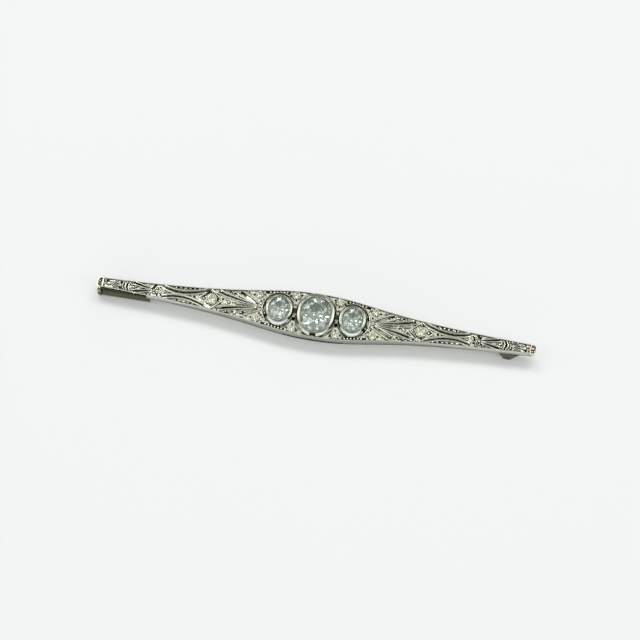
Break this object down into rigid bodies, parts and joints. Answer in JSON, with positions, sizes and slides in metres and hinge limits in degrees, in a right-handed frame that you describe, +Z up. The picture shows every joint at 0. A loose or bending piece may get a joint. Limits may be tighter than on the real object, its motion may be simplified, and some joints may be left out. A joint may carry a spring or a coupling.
{
  "type": "diamond bar brooch",
  "caption": "Slender pierced white metal bar brooch, lying face up, with round diamonds in raised collets at its middle, small diamonds, and a hinge, pin stem and tube catch at the back.",
  "frame": {"origin": "centre of the brooch on the surface that it lies on, under the middle of the centre diamond", "axes": "+X along the bar towards its hinge end, +Y across the bar, +Z up out of the face"},
  "size_m": [0.0666, 0.007, 0.0052],
  "materials": {
    "white_metal": "bright-cut and milled platinum-white metal, a warm grey with dark patina in the pierced and engraved recesses",
    "fitting_metal": "plain polished white metal, slightly yellow and duller than the face",
    "diamond": "old-cut diamond, clear and colourless with a cool tint"
  },
  "bodies": {
    "root": {"pierced_bar": "white_metal", "centre_diamond": "diamond", "left_diamond": "diamond", "right_diamond": "diamond", "cell_diamond_1": "diamond", "cell_diamond_2": "diamond", "cell_diamond_3": "diamond", "cell_diamond_4": "diamond", "cell_diamond_5": "diamond", "cell_diamond_6": "diamond", "cell_diamond_7": "diamond", "cell_diamond_8": "diamond", "lozenge_diamond_left": "diamond", "lozenge_diamond_right": "diamond", "tip_diamond_left": "diamond", "tip_diamond_right": "diamond", "catch": "fitting_metal", "hinge": "fitting_metal", "hinge_rivet": "fitting_metal", "pin_stem": "fitting_metal"}
  },
  "joints": []
}
